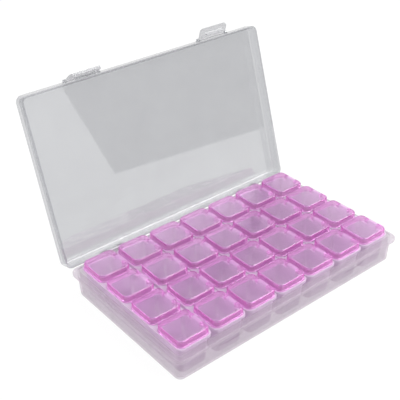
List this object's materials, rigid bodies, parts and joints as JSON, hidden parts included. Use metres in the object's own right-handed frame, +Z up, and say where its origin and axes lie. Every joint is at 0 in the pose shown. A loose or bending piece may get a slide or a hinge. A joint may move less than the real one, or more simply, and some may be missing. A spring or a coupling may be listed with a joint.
{
  "type": "bead storage box",
  "caption": "Clear hinged case with two latches, holding lift-out strips of small cells, each cell with its own pink flip lid.",
  "frame": {"origin": "centre of the tray's underside", "axes": "+X along the box to the right, -Y towards the latches, +Y towards the case hinge, +Z up"},
  "size_m": [0.175, 0.1409, 0.1255],
  "materials": {
    "clear_case": "translucent natural plastic",
    "clear_strip": "translucent natural plastic",
    "pink_flip_lid": "transparent tinted plastic"
  },
  "bodies": {
    "case_tray": {"case_tray": "clear_case"},
    "case_lid": {"case_lid": "clear_case"},
    "latch_left": {"latch_left": "clear_case"},
    "latch_right": {"latch_right": "clear_case"},
    "strip_1": {"strip_1": "clear_strip"},
    "strip_2": {"strip_2": "clear_strip"},
    "strip_3": {"strip_3": "clear_strip"},
    "strip_4": {"strip_4": "clear_strip"},
    "strip_5": {"strip_5": "clear_strip"},
    "strip_6": {"strip_6": "clear_strip"},
    "strip_7": {"strip_7": "clear_strip"},
    "flip_lid_1_1": {"flip_lid_1_1": "pink_flip_lid"},
    "flip_lid_1_2": {"flip_lid_1_2": "pink_flip_lid"},
    "flip_lid_1_3": {"flip_lid_1_3": "pink_flip_lid"},
    "flip_lid_1_4": {"flip_lid_1_4": "pink_flip_lid"},
    "flip_lid_2_1": {"flip_lid_2_1": "pink_flip_lid"},
    "flip_lid_2_2": {"flip_lid_2_2": "pink_flip_lid"},
    "flip_lid_2_3": {"flip_lid_2_3": "pink_flip_lid"},
    "flip_lid_2_4": {"flip_lid_2_4": "pink_flip_lid"},
    "flip_lid_3_1": {"flip_lid_3_1": "pink_flip_lid"},
    "flip_lid_3_2": {"flip_lid_3_2": "pink_flip_lid"},
    "flip_lid_3_3": {"flip_lid_3_3": "pink_flip_lid"},
    "flip_lid_3_4": {"flip_lid_3_4": "pink_flip_lid"},
    "flip_lid_4_1": {"flip_lid_4_1": "pink_flip_lid"},
    "flip_lid_4_2": {"flip_lid_4_2": "pink_flip_lid"},
    "flip_lid_4_3": {"flip_lid_4_3": "pink_flip_lid"},
    "flip_lid_4_4": {"flip_lid_4_4": "pink_flip_lid"},
    "flip_lid_5_1": {"flip_lid_5_1": "pink_flip_lid"},
    "flip_lid_5_2": {"flip_lid_5_2": "pink_flip_lid"},
    "flip_lid_5_3": {"flip_lid_5_3": "pink_flip_lid"},
    "flip_lid_5_4": {"flip_lid_5_4": "pink_flip_lid"},
    "flip_lid_6_1": {"flip_lid_6_1": "pink_flip_lid"},
    "flip_lid_6_2": {"flip_lid_6_2": "pink_flip_lid"},
    "flip_lid_6_3": {"flip_lid_6_3": "pink_flip_lid"},
    "flip_lid_6_4": {"flip_lid_6_4": "pink_flip_lid"},
    "flip_lid_7_1": {"flip_lid_7_1": "pink_flip_lid"},
    "flip_lid_7_2": {"flip_lid_7_2": "pink_flip_lid"},
    "flip_lid_7_3": {"flip_lid_7_3": "pink_flip_lid"},
    "flip_lid_7_4": {"flip_lid_7_4": "pink_flip_lid"}
  },
  "joints": [
    {"name": "case_lid_hinge", "type": "hinge", "parent": "case_tray", "child": "case_lid", "pos_m": [0, 0.05212, 0.0172], "axis": [-1, 0, 0], "range_deg": [-106.7, 0]},
    {"name": "latch_left_hinge", "type": "hinge", "parent": "case_lid", "child": "latch_left", "pos_m": [-0.047, 0.08344, 0.11811], "axis": [-1, 0, 0], "range_deg": [-25, 90]},
    {"name": "latch_right_hinge", "type": "hinge", "parent": "case_lid", "child": "latch_right", "pos_m": [0.0505, 0.08344, 0.11811], "axis": [-1, 0, 0], "range_deg": [-57, 58]},
    {"name": "strip_1_lift", "type": "slide", "parent": "case_tray", "child": "strip_1", "axis": [0, 0, 1], "range_m": [0, 0.045]},
    {"name": "strip_2_lift", "type": "slide", "parent": "case_tray", "child": "strip_2", "axis": [0, 0, 1], "range_m": [0, 0.045]},
    {"name": "strip_3_lift", "type": "slide", "parent": "case_tray", "child": "strip_3", "axis": [0, 0, 1], "range_m": [0, 0.045]},
    {"name": "strip_4_lift", "type": "slide", "parent": "case_tray", "child": "strip_4", "axis": [0, 0, 1], "range_m": [0, 0.045]},
    {"name": "strip_5_lift", "type": "slide", "parent": "case_tray", "child": "strip_5", "axis": [0, 0, 1], "range_m": [0, 0.045]},
    {"name": "strip_6_lift", "type": "slide", "parent": "case_tray", "child": "strip_6", "axis": [0, 0, 1], "range_m": [0, 0.045]},
    {"name": "strip_7_lift", "type": "slide", "parent": "case_tray", "child": "strip_7", "axis": [0, 0, 1], "range_m": [0, 0.045]},
    {"name": "flip_lid_1_1_hinge", "type": "hinge", "parent": "strip_1", "child": "flip_lid_1_1", "pos_m": [-0.06102, -0.03578, 0.0212], "axis": [0, 1, 0], "range_deg": [0, 95]},
    {"name": "flip_lid_1_2_hinge", "type": "hinge", "parent": "strip_1", "child": "flip_lid_1_2", "pos_m": [-0.06102, -0.01192, 0.0212], "axis": [0, 1, 0], "range_deg": [0, 95]},
    {"name": "flip_lid_1_3_hinge", "type": "hinge", "parent": "strip_1", "child": "flip_lid_1_3", "pos_m": [-0.06102, 0.01192, 0.0212], "axis": [0, 1, 0], "range_deg": [0, 95]},
    {"name": "flip_lid_1_4_hinge", "type": "hinge", "parent": "strip_1", "child": "flip_lid_1_4", "pos_m": [-0.06102, 0.03578, 0.0212], "axis": [0, 1, 0], "range_deg": [0, 95]},
    {"name": "flip_lid_2_1_hinge", "type": "hinge", "parent": "strip_2", "child": "flip_lid_2_1", "pos_m": [-0.03683, -0.03578, 0.0212], "axis": [0, 1, 0], "range_deg": [0, 95]},
    {"name": "flip_lid_2_2_hinge", "type": "hinge", "parent": "strip_2", "child": "flip_lid_2_2", "pos_m": [-0.03683, -0.01192, 0.0212], "axis": [0, 1, 0], "range_deg": [0, 95]},
    {"name": "flip_lid_2_3_hinge", "type": "hinge", "parent": "strip_2", "child": "flip_lid_2_3", "pos_m": [-0.03683, 0.01192, 0.0212], "axis": [0, 1, 0], "range_deg": [0, 95]},
    {"name": "flip_lid_2_4_hinge", "type": "hinge", "parent": "strip_2", "child": "flip_lid_2_4", "pos_m": [-0.03683, 0.03578, 0.0212], "axis": [0, 1, 0], "range_deg": [0, 95]},
    {"name": "flip_lid_3_1_hinge", "type": "hinge", "parent": "strip_3", "child": "flip_lid_3_1", "pos_m": [-0.01344, -0.03578, 0.0212], "axis": [0, 1, 0], "range_deg": [0, 95]},
    {"name": "flip_lid_3_2_hinge", "type": "hinge", "parent": "strip_3", "child": "flip_lid_3_2", "pos_m": [-0.01344, -0.01192, 0.0212], "axis": [0, 1, 0], "range_deg": [0, 95]},
    {"name": "flip_lid_3_3_hinge", "type": "hinge", "parent": "strip_3", "child": "flip_lid_3_3", "pos_m": [-0.01344, 0.01192, 0.0212], "axis": [0, 1, 0], "range_deg": [0, 95]},
    {"name": "flip_lid_3_4_hinge", "type": "hinge", "parent": "strip_3", "child": "flip_lid_3_4", "pos_m": [-0.01344, 0.03578, 0.0212], "axis": [0, 1, 0], "range_deg": [0, 95]},
    {"name": "flip_lid_4_1_hinge", "type": "hinge", "parent": "strip_4", "child": "flip_lid_4_1", "pos_m": [0.00995, -0.03578, 0.0212], "axis": [0, 1, 0], "range_deg": [0, 95]},
    {"name": "flip_lid_4_2_hinge", "type": "hinge", "parent": "strip_4", "child": "flip_lid_4_2", "pos_m": [0.00995, -0.01192, 0.0212], "axis": [0, 1, 0], "range_deg": [0, 95]},
    {"name": "flip_lid_4_3_hinge", "type": "hinge", "parent": "strip_4", "child": "flip_lid_4_3", "pos_m": [0.00995, 0.01192, 0.0212], "axis": [0, 1, 0], "range_deg": [0, 95]},
    {"name": "flip_lid_4_4_hinge", "type": "hinge", "parent": "strip_4", "child": "flip_lid_4_4", "pos_m": [0.00995, 0.03578, 0.0212], "axis": [0, 1, 0], "range_deg": [0, 95]},
    {"name": "flip_lid_5_1_hinge", "type": "hinge", "parent": "strip_5", "child": "flip_lid_5_1", "pos_m": [0.03334, -0.03578, 0.0212], "axis": [0, 1, 0], "range_deg": [0, 95]},
    {"name": "flip_lid_5_2_hinge", "type": "hinge", "parent": "strip_5", "child": "flip_lid_5_2", "pos_m": [0.03334, -0.01192, 0.0212], "axis": [0, 1, 0], "range_deg": [0, 95]},
    {"name": "flip_lid_5_3_hinge", "type": "hinge", "parent": "strip_5", "child": "flip_lid_5_3", "pos_m": [0.03334, 0.01192, 0.0212], "axis": [0, 1, 0], "range_deg": [0, 95]},
    {"name": "flip_lid_5_4_hinge", "type": "hinge", "parent": "strip_5", "child": "flip_lid_5_4", "pos_m": [0.03334, 0.03578, 0.0212], "axis": [0, 1, 0], "range_deg": [0, 95]},
    {"name": "flip_lid_6_1_hinge", "type": "hinge", "parent": "strip_6", "child": "flip_lid_6_1", "pos_m": [0.05673, -0.03578, 0.0212], "axis": [0, 1, 0], "range_deg": [0, 95]},
    {"name": "flip_lid_6_2_hinge", "type": "hinge", "parent": "strip_6", "child": "flip_lid_6_2", "pos_m": [0.05673, -0.01192, 0.0212], "axis": [0, 1, 0], "range_deg": [0, 95]},
    {"name": "flip_lid_6_3_hinge", "type": "hinge", "parent": "strip_6", "child": "flip_lid_6_3", "pos_m": [0.05673, 0.01192, 0.0212], "axis": [0, 1, 0], "range_deg": [0, 95]},
    {"name": "flip_lid_6_4_hinge", "type": "hinge", "parent": "strip_6", "child": "flip_lid_6_4", "pos_m": [0.05673, 0.03578, 0.0212], "axis": [0, 1, 0], "range_deg": [0, 95]},
    {"name": "flip_lid_7_1_hinge", "type": "hinge", "parent": "strip_7", "child": "flip_lid_7_1", "pos_m": [0.08012, -0.03578, 0.0212], "axis": [0, 1, 0], "range_deg": [0, 95]},
    {"name": "flip_lid_7_2_hinge", "type": "hinge", "parent": "strip_7", "child": "flip_lid_7_2", "pos_m": [0.08012, -0.01192, 0.0212], "axis": [0, 1, 0], "range_deg": [0, 95]},
    {"name": "flip_lid_7_3_hinge", "type": "hinge", "parent": "strip_7", "child": "flip_lid_7_3", "pos_m": [0.08012, 0.01192, 0.0212], "axis": [0, 1, 0], "range_deg": [0, 95]},
    {"name": "flip_lid_7_4_hinge", "type": "hinge", "parent": "strip_7", "child": "flip_lid_7_4", "pos_m": [0.08012, 0.03578, 0.0212], "axis": [0, 1, 0], "range_deg": [0, 95]}
  ]
}
